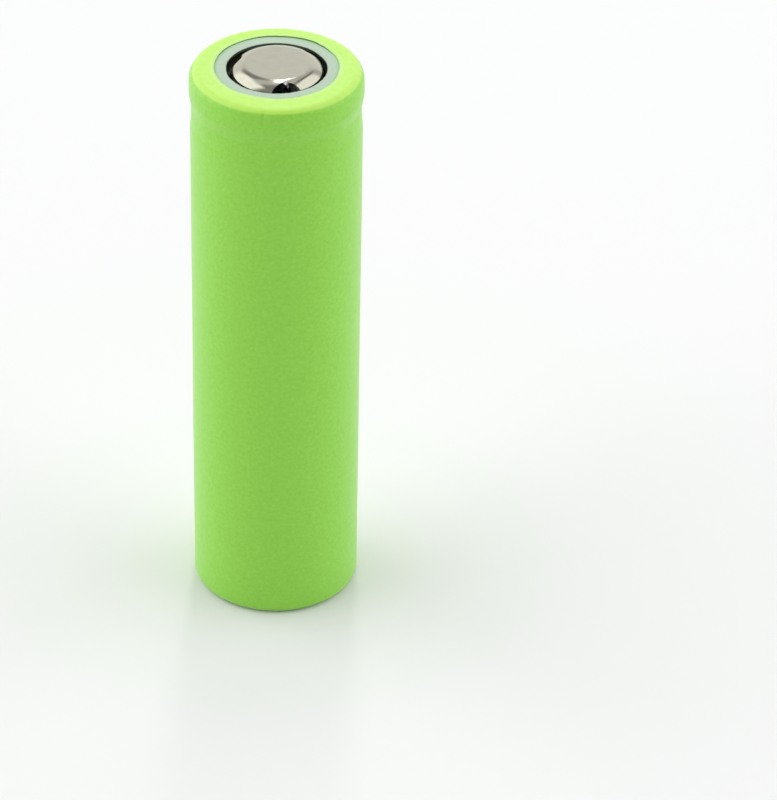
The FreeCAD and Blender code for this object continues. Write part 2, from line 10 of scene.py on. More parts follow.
import bmesh
import bpy
import numpy as np
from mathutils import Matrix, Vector


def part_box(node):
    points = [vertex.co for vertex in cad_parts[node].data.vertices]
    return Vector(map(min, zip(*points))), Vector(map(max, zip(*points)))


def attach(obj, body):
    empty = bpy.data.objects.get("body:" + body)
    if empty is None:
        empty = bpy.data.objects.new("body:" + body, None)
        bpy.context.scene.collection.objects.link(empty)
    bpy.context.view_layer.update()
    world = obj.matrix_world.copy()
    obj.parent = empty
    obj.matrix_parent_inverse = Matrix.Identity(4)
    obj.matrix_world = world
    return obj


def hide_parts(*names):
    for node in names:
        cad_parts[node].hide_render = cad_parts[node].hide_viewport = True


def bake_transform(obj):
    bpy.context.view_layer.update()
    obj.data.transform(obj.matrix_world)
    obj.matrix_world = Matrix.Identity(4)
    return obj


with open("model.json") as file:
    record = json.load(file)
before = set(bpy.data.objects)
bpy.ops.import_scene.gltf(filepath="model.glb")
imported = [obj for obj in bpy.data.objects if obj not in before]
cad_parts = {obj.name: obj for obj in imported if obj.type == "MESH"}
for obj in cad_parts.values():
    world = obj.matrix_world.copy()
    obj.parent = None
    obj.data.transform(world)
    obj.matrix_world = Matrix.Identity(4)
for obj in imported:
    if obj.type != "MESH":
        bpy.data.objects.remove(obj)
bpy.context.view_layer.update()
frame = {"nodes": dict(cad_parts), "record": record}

MM = 0.001

# ---- sizes from the frame, in millimetres ---------------------------------------------------


def corner(node, end, axis):
    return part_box(node)[end][axis] / MM


LOW, HIGH = 0, 1
X, Z = 0, 2
SLEEVE_TOP = corner("shrink_sleeve", HIGH, Z)
HEAD_RADIUS = corner("shrink_sleeve", HIGH, X)
WASHER_LOW = corner("insulating_washer", LOW, Z)
WASHER_HIGH = corner("insulating_washer", HIGH, Z)
WASHER_RADIUS = corner("insulating_washer", HIGH, X)
CAP_TOP = corner("positive_cap", HIGH, Z)
CAP_UNDER = corner("positive_cap", LOW, Z)
CAP_RADIUS = corner("positive_cap", HIGH, X)
VENT_LOW = corner("vent_disc", LOW, Z)
VENT_HIGH = corner("vent_disc", HIGH, Z)
VENT_RADIUS = corner("vent_disc", HIGH, X)
MOUNTS = {m["name"]: m for m in frame["record"]["mounts"]}
BARREL_RADIUS = MOUNTS["barrel"]["dims"]["r_mm"]

# ---- sizes of the detailed pieces -----------------------------------------------------------

FILM = 0.10
NECK_START = 57.9  # where the film steps in below the groove
NECK_TOP = 58.5  # where that step ends
NECK_DEPTH = 0.09
NECK_BLEND = 3.0
VALLEY = 60.45  # deepest part of the groove
VALLEY_DEPTH = 0.15
VALLEY_BLEND = 1.8
HEAD_EDGE = 61.85  # where the film meets the head
HEAD_EDGE_BLEND = 1.6
HEAD_WIDEST = 63.1  # the head narrows a little from this height up to its corner
HEAD_BLEND = 3.0
SHOULDER_DRAW = 0.09
SHOULDER_CORNER = 1.00
BASE_CORNER = 0.90
TOP_OPENING = 6.59
OPENING_SHIFT = 0.285  # the film's top edge sits this far towards the back
OPENING_OVAL = -0.02
BASE_OPENING = 7.30
WASHER_HOLE = 5.32
WASHER_SHIFT = 0.20  # the board sits this far towards the back
WASHER_THICKNESS = 0.30
WASHER_BEND = 0.90  # radius of the bend over the can's shoulder
WASHER_WRAP = 48.0  # how far it bends down, in degrees
CAP_SHEET = 0.35
CAP_FLANGE_TOP = CAP_UNDER + CAP_SHEET
CAP_FOOT_RADIUS = 5.05
CAP_FOOT_BEND = 0.22
CAP_TOP_RADIUS = 4.80
CAP_SHOULDER = 1.70
CAP_SHIFT = 0.08  # how far the dome sits to the right of the axis
CAP_LIP = 0.06  # rounding of the cut edges
CAP_LIP_STEPS = 3
CAP_LIP_LIMIT = 40.0  # edges sharper than this many degrees are rounded
WINDOW_ANGLE = 283.0  # direction of the first window, in degrees from +X
WINDOW_COUNT = 3
WINDOW_WIDTH = 3.10
WINDOW_SILL = 0.12  # metal left above the flange
WINDOW_SPRING = 0.55  # height above the flange where the arch starts
WINDOW_CROWN = 0.12  # how far the arch ends below the cap's top
WINDOW_REACH = (3.2, 7.0)  # the cutter's inner and outer distance from the axis
WINDOW_ARC = 24
VENT_SHEET = 0.30
VENT_DISH = 0.48  # underside of the dish above the boss's underside
VENT_BOSS_RADIUS = 1.20
VENT_BOSS_FOOT = 1.60
VENT_DISH_RADIUS = 4.35
VENT_DISH_LIP = 4.70
VENT_FOLD = 0.10  # radius of the tight bends
VENT_SCORE_RADIUS = 3.30
VENT_SCORE_HALF = 0.16  # half the score line's width
VENT_SCORE_DEPTH = 0.20
CREASE_ANGLE = 263.0  # direction of the short crease in the film's shoulder

AROUND = 512  # steps round a turned piece


# ---- mesh helpers ---------------------------------------------------------------------------


def new_object(name, verts, faces, smooth=True):
    """A mesh object from points in millimetres."""
    mesh = bpy.data.meshes.new(name)
    mesh.from_pydata([tuple(MM * c for c in v) for v in verts], [], faces)
    mesh.validate()
    mesh.update()
    if smooth:
        mesh.polygons.foreach_set("use_smooth", [True] * len(mesh.polygons))
    obj = bpy.data.objects.new(name, mesh)
    bpy.context.scene.collection.objects.link(obj)
    return obj


def unit(a, b):
    """Direction from a to b."""
    length = math.hypot(b[0] - a[0], b[1] - a[1])
    return (b[0] - a[0]) / length, (b[1] - a[1]) / length


def rounded(points, step):
    """Points along an open (r, z, corner radius) path, its corners turned into arcs."""
    out = []
    for i, (r, z, radius) in enumerate(points):
        if not radius or i in (0, len(points) - 1):
            out.append((r, z))
            continue
        back, on = unit(points[i], points[i - 1]), unit(points[i], points[i + 1])
        half = math.acos(max(-1, min(1, back[0] * on[0] + back[1] * on[1]))) / 2
        reach = radius / math.tan(half)
        start = (r + back[0] * reach, z + back[1] * reach)
        end = (r + on[0] * reach, z + on[1] * reach)
        way = unit((0, 0), (back[0] + on[0], back[1] + on[1]))
        centre = (r + way[0] * radius / math.sin(half), z + way[1] * radius / math.sin(half))
        first = math.atan2(start[1] - centre[1], start[0] - centre[0])
        sweep = math.atan2(end[1] - centre[1], end[0] - centre[0]) - first
        sweep = (sweep + math.pi) % (2 * math.pi) - math.pi
        count = max(4, round(radius * abs(sweep) / step))
        for k in range(count + 1):
            angle = first + sweep * k / count
            out.append((centre[0] + radius * math.cos(angle), centre[1] + radius * math.sin(angle)))
    return out


def filled(points, step):
    """The same path with points added so that no gap is over step."""
    out = [points[0]]
    for a, b in zip(points, points[1:]):
        count = max(1, math.ceil(math.hypot(b[0] - a[0], b[1] - a[1]) / step))
        for k in range(1, count + 1):
            out.append((a[0] + (b[0] - a[0]) * k / count, a[1] + (b[1] - a[1]) * k / count))
    return out


def normals(points):
    """Left-hand normals along an open path."""
    p = np.array(points)
    along = np.gradient(p, axis=0)
    along /= np.linalg.norm(along, axis=1)[:, None]
    return np.stack([-along[:, 1], along[:, 0]], axis=1)


def closed_lathe(name, points, around, shift):
    """A closed profile turned about Z. shift(angle, point number) moves a point by (dr, dz)."""
    p = np.array(points)
    count = len(p)
    angles = np.arange(around) * 2 * math.pi / around
    moved = shift(angles)
    r = p[None, :, 0] + moved[..., 0]
    z = p[None, :, 1] + moved[..., 1]
    verts = np.stack([r * np.cos(angles)[:, None], r * np.sin(angles)[:, None], z], axis=-1)
    faces = []
    for i in range(around):
        a, b = i * count, (i + 1) % around * count
        for k in range(count):
            n = (k + 1) % count
            faces.append((a + k, b + k, b + n, a + n))
    return new_object(name, verts.reshape(-1, 3), faces)


def solid_of_revolution(name, outline, around=AROUND):
    """An outline that starts and ends on the axis, turned about Z."""
    inner = outline[1:-1]
    verts = [(0, 0, outline[0][1])]
    for i in range(around):
        angle = 2 * math.pi * i / around
        verts += [(r * math.cos(angle), r * math.sin(angle), z) for r, z in inner]
    verts.append((0, 0, outline[-1][1]))
    count, last = len(inner), len(verts) - 1
    faces = []
    for i in range(around):
        a, b = 1 + i * count, 1 + (i + 1) % around * count
        faces.append((0, b, a))
        faces += [(a + k, b + k, b + k + 1, a + k + 1) for k in range(count - 1)]
        faces.append((a + count - 1, b + count - 1, last))
    return new_object(name, verts, faces)


def bump_between(x, low, high, soft):
    """1 between low and high, falling smoothly to 0 over soft on each side."""
    rise = np.clip((x - low) / soft + 1, 0, 1)
    fall = np.clip((high - x) / soft + 1, 0, 1)
    t = np.minimum(rise, fall)
    return t * t * (3 - 2 * t)


def waves(rng, angles, lowest, highest, count):
    """A periodic wandering curve with about unit height, from a few random harmonics."""
    total = np.zeros_like(angles)
    for _ in range(count):
        n = rng.randint(lowest, highest)
        total += rng.uniform(0.5, 1.0) * np.sin(n * angles + rng.uniform(0, 2 * math.pi))
    return total / (0.75 * math.sqrt(count / 2))


def recalculate_normals(obj):
    mesh = bmesh.new()
    mesh.from_mesh(obj.data)
    bmesh.ops.recalc_face_normals(mesh, faces=mesh.faces)
    mesh.to_mesh(obj.data)
    mesh.free()


# ---- pieces ---------------------------------------------------------------------------------


def sleeve_outline():
    """Outside of the film from the edge of its base opening up to its top opening."""
    path = [
        (BASE_OPENING, 0.0, 0.0),
        (BARREL_RADIUS, 0.0, BASE_CORNER),
        (BARREL_RADIUS, NECK_START, NECK_BLEND),
        (BARREL_RADIUS - NECK_DEPTH, NECK_TOP, NECK_BLEND),
        (BARREL_RADIUS - VALLEY_DEPTH, VALLEY, VALLEY_BLEND),
        (HEAD_RADIUS, HEAD_EDGE, HEAD_EDGE_BLEND),
        (HEAD_RADIUS, HEAD_WIDEST, HEAD_BLEND),
        (HEAD_RADIUS - SHOULDER_DRAW, SLEEVE_TOP, SHOULDER_CORNER),
        (TOP_OPENING, SLEEVE_TOP, 0.0),
    ]
    return filled(rounded(path, 0.07), 0.35)


def shrink_sleeve():
    """The film with its wrinkles, its crease and the ragged edges of both openings."""
    outer = sleeve_outline()
    side = normals(outer)
    inner = [(r + n[0] * FILM, z + n[1] * FILM) for (r, z), n in zip(outer, side)]
    points = outer + inner[::-1]
    r = np.array([p[0] for p in outer])
    z = np.array([p[1] for p in outer])
    rng = random.Random(18650)

    def out_by(angles):
        """How far the film stands out of its smooth shape, by angle and point."""
        total = np.zeros((len(angles), len(outer)))
        neck = np.exp(-(((z - 60.2) / 1.0) ** 2))
        total += 0.022 * np.outer(waves(rng, angles, 3, 11, 6), neck)
        total += 0.010 * np.outer(waves(rng, angles, 14, 33, 6), neck)
        head = bump_between(z, 62.3, 63.7, 0.4) * (r > HEAD_RADIUS - 0.3)
        total += 0.010 * np.outer(waves(rng, angles, 2, 9, 5), head)
        pleats = bump_between(r, 7.6, 8.9, 0.7) * (z > SLEEVE_TOP - 1.2)
        total += 0.006 * np.outer(waves(rng, angles, 24, 61, 9), pleats)
        fold = bump_between(r, 6.4, 7.4, 0.8) * (z > SLEEVE_TOP - 1.2)
        total += 0.018 * np.outer(waves(rng, angles, 2, 7, 4), fold)
        base = bump_between(r, 7.0, 8.8, 0.4) * (z < 1.2)
        total += 0.020 * np.outer(np.abs(waves(rng, angles, 20, 47, 8)), -base)
        barrel = bump_between(z, 4.0, 56.0, 4.0)
        for _ in range(5):
            height, spread = rng.uniform(6, 54), rng.uniform(4, 9)
            bulge = np.exp(-(((z - height) / spread) ** 2)) * barrel
            total += 0.006 * np.outer(waves(rng, angles, 1, 5, 3), bulge)
        turn = (np.degrees(angles) - CREASE_ANGLE + 180) % 360 - 180
        lean = 0.25 * (z - 63.6)
        crease = np.exp(-(((turn[:, None] - 4.0 * lean[None, :]) / 0.9) ** 2))
        shoulder = np.exp(-(((z - 64.1) / 0.35) ** 2)) * (r > 8.3)
        total -= np.outer((0.075 - 0.01 * np.cos(angles)) * np.cos(angles) ** 2, shoulder)
        total -= 0.070 * crease * (bump_between(z, 63.1, 64.0, 0.5) * (r > 8.4))[None, :]
        return total

    def shift(angles):
        out = out_by(angles)
        move = -out[..., None] * side[None]
        top = bump_between(r, 6.4, 6.52, 1.4) * (z > 60)
        ragged = OPENING_SHIFT * np.sin(angles) + OPENING_OVAL * np.cos(2 * angles)
        ragged += 0.020 * waves(rng, angles, 3, 9, 5) + 0.010 * waves(rng, angles, 17, 53, 9)
        move[..., 0] += np.outer(ragged, top)
        foot = bump_between(r, 7.2, 7.35, 0.8) * (z < 0.5)
        ragged = 0.10 * waves(rng, angles, 2, 8, 5) + 0.04 * waves(rng, angles, 15, 44, 8)
        move[..., 0] += np.outer(ragged, foot)
        return np.concatenate([move, move[:, ::-1]], axis=1)

    obj = closed_lathe("sleeve_film", points, AROUND * 2, shift)
    recalculate_normals(obj)
    return obj


def washer():
    """Flat board round the cap, bent down over the can's shoulder under the film."""
    edge = 0.05
    wrap = math.radians(WASHER_WRAP)
    bend = WASHER_RADIUS - WASHER_BEND * math.tan(wrap / 2) * math.cos(wrap)
    under = WASHER_HIGH - WASHER_THICKNESS
    path = [
        (WASHER_HOLE, under + WASHER_THICKNESS / 2, 0.0),
        (WASHER_HOLE, under, edge),
        (bend, under, WASHER_BEND),
        (WASHER_RADIUS, WASHER_LOW, 0.0),
        (WASHER_RADIUS, WASHER_LOW + WASHER_THICKNESS, 0.0),
        (bend, WASHER_HIGH, WASHER_BEND),
        (WASHER_HOLE, WASHER_HIGH, edge),
        (WASHER_HOLE, under + WASHER_THICKNESS / 2 + 0.01, 0.0),
    ]
    points = filled(rounded(path, 0.03), 0.25)
    rng = random.Random(6)
    p = np.array(points)

    def shift(angles):
        move = np.zeros((len(angles), len(points), 2))
        hole = np.clip((6.4 - p[:, 0]) / 0.9, 0, 1)
        cut = 0.012 * waves(rng, angles, 3, 12, 5) + 0.006 * waves(rng, angles, 30, 80, 9)
        move[..., 0] = np.outer(cut + WASHER_SHIFT * np.sin(angles), hole)
        return move

    obj = closed_lathe("washer_board", points, AROUND, shift)
    recalculate_normals(obj)
    return obj


def cap_outline():
    """Outside of the cap from the flange's edge to the middle of the top, then back inside."""
    outside = [
        (CAP_RADIUS, CAP_FLANGE_TOP, 0.0),
        (CAP_FOOT_RADIUS, CAP_FLANGE_TOP, CAP_FOOT_BEND),
        (CAP_TOP_RADIUS, CAP_TOP, CAP_SHOULDER),
        (0.0, CAP_TOP, 0.0),
    ]
    path = filled(rounded(outside, 0.05), 0.3)
    side = normals(path)
    inside = [(r + n[0] * CAP_SHEET, z + n[1] * CAP_SHEET) for (r, z), n in zip(path, side)]
    inside[0] = (CAP_RADIUS, CAP_UNDER)
    inside[-1] = (0.0, CAP_TOP - CAP_SHEET)
    return path[::-1] + inside


def window_cutter(angle):
    """Upright arch, pushed out through the dome's shoulder."""
    half = WINDOW_WIDTH / 2
    low, spring = CAP_FLANGE_TOP + WINDOW_SILL, CAP_FLANGE_TOP + WINDOW_SPRING
    high = CAP_TOP - WINDOW_CROWN
    arch = [(half, low), (half, spring)]
    arch += [
        (half * math.cos(t), spring + (high - spring) * math.sin(t))
        for t in (math.pi * k / WINDOW_ARC for k in range(1, WINDOW_ARC))
    ]
    arch += [(-half, spring), (-half, low)]
    count = len(arch)
    out_x, out_y = math.cos(math.radians(angle)), math.sin(math.radians(angle))
    verts = [
        (reach * out_x - u * out_y, reach * out_y + u * out_x, z)
        for reach in WINDOW_REACH
        for u, z in arch
    ]
    faces = [tuple(range(count))[::-1], tuple(range(count, 2 * count))]
    faces += [(k, (k + 1) % count, (k + 1) % count + count, k + count) for k in range(count)]
    cutter = new_object("cutter", verts, faces, smooth=False)
    recalculate_normals(cutter)
    return cutter


def cap():
    """Plated cap with its vent windows cut and their edges rounded."""
    obj = solid_of_revolution("cap_pressing", cap_outline())
    recalculate_normals(obj)
    for i in range(WINDOW_COUNT):
        cutter = window_cutter(WINDOW_ANGLE + i * 360 / WINDOW_COUNT)
        cut = obj.modifiers.new("window", "BOOLEAN")
        cut.operation = "DIFFERENCE"
        cut.object = cutter
        cut.solver = "EXACT"
        apply_modifiers(obj)
        bpy.data.objects.remove(cutter)
    bevel = obj.modifiers.new("lip", "BEVEL")
    bevel.width = CAP_LIP * MM
    bevel.segments = CAP_LIP_STEPS
    bevel.limit_method = "ANGLE"
    bevel.angle_limit = math.radians(CAP_LIP_LIMIT)
    apply_modifiers(obj)
    obj.data.polygons.foreach_set("use_smooth", [True] * len(obj.data.polygons))
    for vert in obj.data.vertices:
        r = math.hypot(vert.co.x, vert.co.y) / MM
        vert.co.x += CAP_SHIFT * MM * min(1, (CAP_RADIUS - r) / (CAP_RADIUS - CAP_FOOT_RADIUS))
    return obj


def apply_modifiers(obj):
    """Bakes an object's modifiers into its mesh."""
    graph = bpy.context.evaluated_depsgraph_get()
    mesh = bpy.data.meshes.new_from_object(obj.evaluated_get(graph))
    obj.modifiers.clear()
    obj.data = mesh


def scored(path, top):
    """The same path along the dish's upper face, with the score line cut into it."""
    near, far = VENT_SCORE_RADIUS - VENT_SCORE_HALF, VENT_SCORE_RADIUS + VENT_SCORE_HALF
    line = [(near, top), (VENT_SCORE_RADIUS, top - VENT_SCORE_DEPTH), (far, top)]
    inside = [p for p in path if p[0] < near]
    return inside + line + [p for p in path if p[0] > far]


def vent():
    """The disc of the safety device, whose middle can lift off its plate."""
    rim_under = VENT_HIGH - VENT_SHEET
    dish_under = VENT_LOW + VENT_DISH
    under = [
        (0.0, VENT_LOW, 0.0),
        (VENT_BOSS_RADIUS, VENT_LOW, 0.40),
        (VENT_BOSS_FOOT, dish_under, VENT_FOLD),
        (VENT_DISH_RADIUS, dish_under, 0.50),
        (VENT_DISH_LIP, rim_under, VENT_FOLD),
        (VENT_RADIUS, rim_under, 0.0),
    ]
    path = filled(rounded(under, 0.05), 0.25)
    side = normals(path)
    over = [(r + n[0] * VENT_SHEET, z + n[1] * VENT_SHEET) for (r, z), n in zip(path, side)]
    over[0], over[-1] = (0.0, VENT_LOW + VENT_SHEET), (VENT_RADIUS, VENT_HIGH)
    over = scored(over, dish_under + VENT_SHEET)
    obj = solid_of_revolution("vent_membrane", path + over[::-1], AROUND // 2)
    recalculate_normals(obj)
    return obj


# ---- materials ------------------------------------------------------------------------------


class Graph:
    """Short names for the shader nodes used below."""

    def __init__(self, tree):
        self.nodes, self.links = tree.nodes, tree.links

    def ramp(self, source, *stops):
        """stops are (position, value or colour)."""
        node = self.nodes.new("ShaderNodeValToRGB")
        elements = node.color_ramp.elements
        while len(elements) < len(stops):
            elements.new(0.5)
        for element, (position, value) in zip(elements, stops):
            element.position = position
            grey = isinstance(value, float)
            element.color = (value, value, value, 1) if grey else (*value, 1)
        self.links.new(source, node.inputs["Fac"])
        return node.outputs["Color"]

    def math(self, operation, a, b):
        node = self.nodes.new("ShaderNodeMath")
        node.operation = operation
        for socket, value in zip(node.inputs, (a, b)):
            if isinstance(value, (int, float)):
                socket.default_value = value
            else:
                self.links.new(value, socket)
        return node.outputs["Value"]

    def between(self, source, low, high):
        """0 at low, 1 at high, clamped."""
        node = self.nodes.new("ShaderNodeMapRange")
        node.inputs["From Min"].default_value = low
        node.inputs["From Max"].default_value = high
        self.links.new(source, node.inputs["Value"])
        return node.outputs["Result"]

    def mixed(self, share, a, b):
        node = self.nodes.new("ShaderNodeMix")
        node.data_type = "RGBA"
        for socket, value in ((node.inputs[0], share), (node.inputs[6], a), (node.inputs[7], b)):
            if isinstance(value, tuple):
                socket.default_value = (*value, 1)
            elif isinstance(value, float):
                socket.default_value = value
            else:
                self.links.new(value, socket)
        return node.outputs[2]


class Material(Graph):
    """A Principled material whose patterns are made in millimetres of the object's own space."""

    def __init__(self, name, **constants):
        self.material = bpy.data.materials.new(name)
        self.material.use_nodes = True
        super().__init__(self.material.node_tree)
        self.shader = self.nodes["Principled BSDF"]
        for socket, value in constants.items():
            self.shader.inputs[socket.replace("_", " ")].default_value = value
        place = self.nodes.new("ShaderNodeTexCoord")
        self.place = place.outputs["Object"]

    def stretched(self, scale):
        node = self.nodes.new("ShaderNodeMapping")
        node.inputs["Scale"].default_value = scale
        self.links.new(self.place, node.inputs["Vector"])
        return node.outputs["Vector"]

    def noise(self, per_mm, detail=3.0, rough=0.5, stretch=None):
        node = self.nodes.new("ShaderNodeTexNoise")
        node.inputs["Scale"].default_value = per_mm / MM
        node.inputs["Detail"].default_value = detail
        node.inputs["Roughness"].default_value = rough
        vector = self.stretched(stretch) if stretch else self.place
        self.links.new(vector, node.inputs["Vector"])
        return node.outputs["Fac"]

    def axis(self, name):
        node = self.nodes.new("ShaderNodeSeparateXYZ")
        self.links.new(self.place, node.inputs["Vector"])
        return node.outputs[name]

    def over(self, source, edge):
        return self.math("GREATER_THAN", source, edge)

    def under(self, source, edge):
        return self.math("LESS_THAN", source, edge)

    def distance(self, centre, scale):
        """Distance from an upright line, in metres, with X and Y stretched by scale."""
        node = self.nodes.new("ShaderNodeMapping")
        node.inputs["Location"].default_value = [-c * s * MM for c, s in zip(centre, scale)] + [0]
        node.inputs["Scale"].default_value = (*scale, 0)
        self.links.new(self.place, node.inputs["Vector"])
        length = self.nodes.new("ShaderNodeVectorMath")
        length.operation = "LENGTH"
        self.links.new(node.outputs["Vector"], length.inputs[0])
        return length.outputs["Value"]

    def slope(self, kind):
        """Height of the surface's normal: 1 facing up or down, 0 on an upright face."""
        surface = self.nodes.new("ShaderNodeNewGeometry")
        parts = self.nodes.new("ShaderNodeSeparateXYZ")
        self.links.new(surface.outputs[kind], parts.inputs["Vector"])
        return self.math("ABSOLUTE", parts.outputs["Z"], 0)

    def upright(self):
        return self.under(self.slope("True Normal"), 0.5)

    def bump(self, *layers):
        """layers are (height socket, how many millimetres high)."""
        previous = None
        for height, size in layers:
            node = self.nodes.new("ShaderNodeBump")
            node.inputs["Distance"].default_value = size * MM
            self.links.new(height, node.inputs["Height"])
            if previous:
                self.links.new(previous, node.inputs["Normal"])
            previous = node.outputs["Normal"]
        self.links.new(previous, self.shader.inputs["Normal"])

    def set(self, socket, source):
        self.links.new(source, self.shader.inputs[socket])


def rgb(red, green, blue):
    """Linear colour from 0 to 255 display values."""
    return tuple(
        c / 12.92 if c <= 0.04045 else ((c + 0.055) / 1.055) ** 2.4
        for c in (red / 255, green / 255, blue / 255)
    )


def film_material():
    """Green film: lighter on top, partly the film over the pale washer and partly painted light,
    with a band of painted sheen at the opening and a darker cut edge that is partly painted shade.
    """
    m = Material("green_shrink_film", Specular_IOR_Level=0.42, Sheen_Weight=0.16)
    cloud = m.ramp(m.noise(2.6, 5, 0.7), (0.3, rgb(134, 203, 57)), (0.7, rgb(148, 215, 71)))
    # top ring lighter: partly the film over the pale washer, partly painted light from above
    lit_over_washer = m.ramp(m.noise(1.5, 3), (0.3, rgb(176, 223, 88)), (0.7, rgb(180, 228, 92)))
    colour = m.mixed(m.between(m.axis("Z"), 64.10 * MM, 64.26 * MM), cloud, lit_over_washer)
    from_edge = m.distance((0, OPENING_SHIFT), (1, 1))
    # paler band just inside the top opening: painted sheen
    painted_edge_sheen = m.mixed(m.between(from_edge, 7.15 * MM, 6.75 * MM), colour, rgb(186, 227, 130))
    colour = m.mixed(m.over(m.axis("Z"), 64.0 * MM), colour, painted_edge_sheen)
    # the film's cut edge in deep green: partly its own colour, partly painted shade by its lip
    cut = m.math("MULTIPLY", m.upright(), m.under(from_edge, 6.85 * MM))
    m.set("Base Color", m.mixed(cut, colour, rgb(74, 128, 44)))
    m.set("Roughness", m.ramp(m.noise(0.9, 4), (0.3, 0.34), (0.7, 0.44)))
    grain = m.noise(9.0, 3, 0.6)
    draw = m.noise(1.6, 3, 0.5, stretch=(1, 1, 0.22))
    m.bump((draw, 0.005), (grain, 0.002))
    return m.material


def washer_material():
    """Fibre board, with painted green bounce and shade next to the film's edge and painted shade on
    the cut wall of its hole.
    """
    m = Material("washer_fibre_board", Specular_IOR_Level=0.3)
    fibres = m.noise(5.0, 5, 0.65, stretch=(1.0, 0.35, 1.0))
    board = m.ramp(fibres, (0.3, rgb(168, 188, 168)), (0.7, rgb(178, 197, 177)))
    from_edge = m.distance((0, OPENING_SHIFT), (1, 1))
    # greener and darker next to the film: painted green bounce and painted shade
    film_bounce_and_shade = m.mixed(m.between(from_edge, 6.15 * MM, 6.65 * MM), board, rgb(158, 196, 146))
    out = m.distance((0, 0), (1, 1))
    # the hole's cut wall in dark grey: painted shade under the dome
    wall = m.math("MULTIPLY", m.upright(), m.under(out, 5.6 * MM))
    m.set("Base Color", m.mixed(wall, film_bounce_and_shade, rgb(80, 88, 76)))
    m.set("Roughness", m.ramp(m.noise(3.0, 3), (0.3, 0.55), (0.7, 0.7)))
    m.bump((fibres, 0.006), (m.noise(20.0, 2), 0.002))
    return m.material


def nickel_material(name, tint, polish, satin):
    """Plated steel: its flat is duller than its drawn corners, with faint wear."""
    m = Material(name, Metallic=1.0)
    mottle = m.noise(1.2, 5, 0.6)
    m.set("Base Color", m.ramp(mottle, (0.3, tuple(0.93 * c for c in tint)), (0.7, tint)))
    level = m.between(m.slope("Normal"), 0.965, 0.999)
    rough = m.mixed(level, (polish,) * 3, (satin,) * 3)
    m.set("Roughness", m.mixed(0.2, rough, m.ramp(mottle, (0.3, polish), (0.7, satin + 0.1))))
    m.bump((m.noise(1.4, 3), 0.0022), (m.noise(9.0, 3), 0.0002))
    return m.material


def plain_metal_material(name, low, high, rough, stretch):
    m = Material(name, Metallic=1.0)
    grain = m.noise(4.0, 4, 0.6, stretch=stretch)
    m.set("Base Color", m.ramp(grain, (0.3, low), (0.7, high)))
    m.set("Roughness", m.ramp(grain, (0.3, rough), (0.7, rough + 0.12)))
    m.bump((grain, 0.003))
    return m.material


def polymer_material(name, low, high, rough, per_mm=1.5, relief=0.004, **constants):
    m = Material(name, **constants)
    cloud = m.noise(per_mm, 4)
    m.set("Base Color", m.ramp(cloud, (0.3, low), (0.7, high)))
    m.set("Roughness", m.ramp(cloud, (0.3, rough), (0.7, rough + 0.1)))
    m.bump((m.noise(8 * per_mm, 3), relief))
    return m.material


def powder_material(name, low, high, rough):
    """Coating of rolled active powder."""
    m = Material(name, Specular_IOR_Level=0.3)
    grains = m.noise(18.0, 4, 0.7)
    streaks = m.noise(0.8, 3, 0.5, stretch=(1, 1, 0.1))
    m.set("Base Color", m.ramp(m.math("MULTIPLY", grains, streaks), (0.1, low), (0.4, high)))
    m.set("Roughness", m.ramp(grains, (0.3, rough), (0.7, rough + 0.15)))
    m.bump((grains, 0.004))
    return m.material


def cad_materials():
    """A material for each CAD node that keeps its own mesh."""
    length = (1, 1, 0.08)
    nickel = rgb(214, 208, 196)
    metal, polymer = plain_metal_material, polymer_material
    aluminium = metal("rolled_aluminium", rgb(196, 197, 200), rgb(222, 223, 226), 0.28, length)
    foil = metal("aluminium_foil_roll", rgb(205, 206, 209), rgb(228, 229, 232), 0.20, length)
    copper = metal("copper_foil_roll", rgb(190, 112, 78), rgb(216, 136, 98), 0.24, length)
    pin = metal("pin_strip_steel", rgb(150, 150, 150), rgb(182, 182, 182), 0.30, length)
    board = polymer("glass_filled_board", rgb(214, 208, 184), rgb(232, 227, 206), 0.55, 3.0, 0.008)
    film = polymer("porous_film", rgb(228, 231, 230), rgb(241, 243, 242), 0.45, 4.0, 0.003)
    tape = polymer("polyimide_tape", rgb(184, 116, 32), rgb(203, 138, 48), 0.22, 1.0, 0.003)
    clear = polymer("clear_tape", rgb(206, 218, 222), rgb(222, 231, 234), 0.2, 1.0, 0.002)
    gasket = polymer("gasket_polymer", rgb(198, 204, 200), rgb(216, 221, 217), 0.35, 1.2)
    ptc = polymer("ptc_polymer", rgb(34, 34, 36), rgb(52, 52, 54), 0.5, 3.0)
    cid = polymer("cid_polymer", rgb(226, 222, 206), rgb(238, 235, 222), 0.4, 1.5)
    graphite = powder_material("anode_graphite", rgb(26, 27, 28), rgb(58, 59, 61), 0.38)
    oxide = powder_material("cathode_oxide", rgb(30, 30, 33), rgb(54, 54, 58), 0.55)
    return {
        "steel_can": nickel_material("plated_can_steel", nickel, 0.22, 0.34),
        "sealing_gasket": gasket,
        "ptc_ring": ptc,
        "cid_insulator": cid,
        "weld_plate": aluminium,
        "cid_sub_plate": aluminium,
        "positive_tab": aluminium,
        "positive_tab_tape": tape,
        "negative_tab_tape": tape,
        "top_insulator": board,
        "bottom_insulator": board,
        "cathode_foil": foil,
        "cathode_coating": oxide,
        "anode_foil": copper,
        "anode_coating": graphite,
        "separator_inner": film,
        "separator_outer": film,
        "winding_tape": clear,
        "negative_tab": nickel_material("nickel_strip", nickel, 0.2, 0.3),
        "centre_pin": pin,
    }


def give(obj, material):
    obj.data.materials.clear()
    obj.data.materials.append(material)


# ---- the object -----------------------------------------------------------------------------


